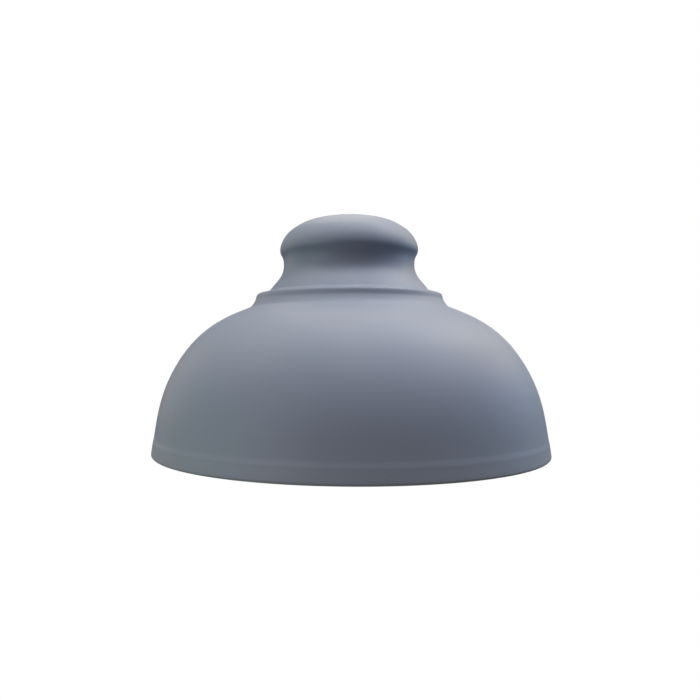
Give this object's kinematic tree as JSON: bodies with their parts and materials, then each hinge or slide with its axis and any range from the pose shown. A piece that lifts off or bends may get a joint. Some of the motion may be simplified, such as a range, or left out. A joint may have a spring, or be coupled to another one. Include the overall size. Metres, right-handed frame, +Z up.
{
  "type": "pendant lampshade",
  "caption": "Spun metal dome pendant shade with a rolled rim, a flared neck and a bulb-shaped top that hides a bayonet lampholder on a three-arm bracket.",
  "frame": {"origin": "centre of the circle the rolled rim stands on", "axes": "+Z up the axis of the shade towards the cord; the two contacts lie along X, the two J slots along Y"},
  "size_m": [0.29, 0.29, 0.1738],
  "materials": {
    "shade_paint": "matte blue-grey powder coat",
    "plated_steel": "zinc plated",
    "spring_steel": "drawn wire",
    "white_plastic": "moulded, slight sheen",
    "block_plastic": "moulded, dull",
    "brass": "turned"
  },
  "bodies": {
    "shade": {"dome_shell": "shade_paint", "neck_shell": "shade_paint", "spider_bracket": "plated_steel", "flange_screws": "plated_steel", "flange_washers": "plated_steel", "flange_nuts": "plated_steel", "reducer_ring": "white_plastic", "holder_barrel": "white_plastic", "terminal_block": "block_plastic", "terminal_left": "brass", "terminal_right": "brass", "terminal_screws": "plated_steel", "spring_left": "spring_steel", "spring_right": "spring_steel"},
    "ring": {"shade_ring": "white_plastic"},
    "cap": {"holder_cap": "white_plastic", "cord_grip": "white_plastic"},
    "grip": {"grip_screw": "brass"},
    "contact_left": {"plunger_left": "brass"},
    "contact_right": {"plunger_right": "brass"}
  },
  "joints": [
    {"name": "contact_left_push", "type": "slide", "parent": "shade", "child": "contact_left", "axis": [0, 0, 1], "range_m": [0, 0.0035], "stiffness_N_per_m": 1200, "springref_m": -0.002, "deforming": ["spring_left"]},
    {"name": "contact_right_push", "type": "slide", "parent": "shade", "child": "contact_right", "axis": [0, 0, 1], "range_m": [0, 0.0035], "stiffness_N_per_m": 1200, "springref_m": -0.002, "deforming": ["spring_right"]},
    {"name": "ring_unscrew", "type": "slide", "parent": "shade", "child": "ring", "axis": [0, 0, -1], "range_m": [0, 0.016], "stiffness_N_per_m": 60, "springref_m": -0.003},
    {"name": "cap_lift", "type": "slide", "parent": "shade", "child": "cap", "axis": [0, 0, 1], "range_m": [0, 0.045]},
    {"name": "grip_tighten", "type": "slide", "parent": "cap", "child": "grip", "axis": [-1, 0, 0], "range_m": [0, 0.0016]}
  ]
}
